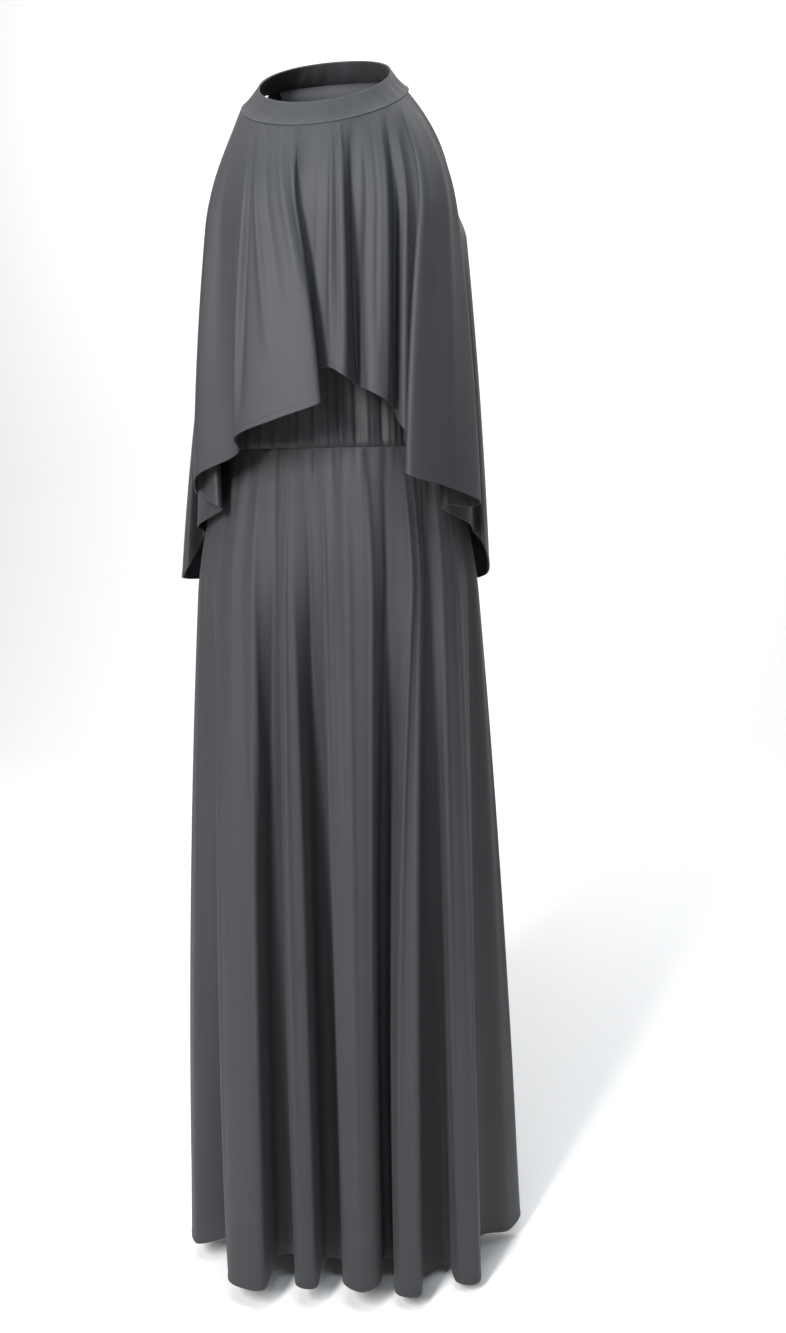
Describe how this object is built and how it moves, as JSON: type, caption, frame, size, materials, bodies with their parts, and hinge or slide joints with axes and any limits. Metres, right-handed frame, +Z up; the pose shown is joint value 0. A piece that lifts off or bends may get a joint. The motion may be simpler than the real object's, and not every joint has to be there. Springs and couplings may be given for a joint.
{
  "type": "maxi dress",
  "caption": "Full-length halter maxi dress with a flared neckband, a popover flounce over a gathered bodice and a long flared skirt in soft folds",
  "frame": {"origin": "middle of the neck opening, where the wearer's neck and shoulders hold the dress up", "axes": "+Z up along the dress, front towards -Y, wearer's left towards +X"},
  "size_m": [0.4397, 0.3523, 1.511],
  "materials": {
    "neckband": "matte charcoal jersey with a soft sheen",
    "bodice_front": "matte charcoal jersey with a soft sheen",
    "bodice_back": "matte charcoal jersey with a soft sheen",
    "overlay_front": "matte charcoal jersey with a soft sheen",
    "overlay_back": "matte charcoal jersey with a soft sheen",
    "skirt_front": "matte charcoal jersey with a soft sheen",
    "skirt_back": "matte charcoal jersey with a soft sheen"
  },
  "bodies": {
    "root": {"neckband": "neckband", "bodice_front": "bodice_front", "bodice_back": "bodice_back", "overlay_front": "overlay_front", "overlay_back": "overlay_back", "skirt_front": "skirt_front", "skirt_back": "skirt_back"}
  },
  "joints": []
}
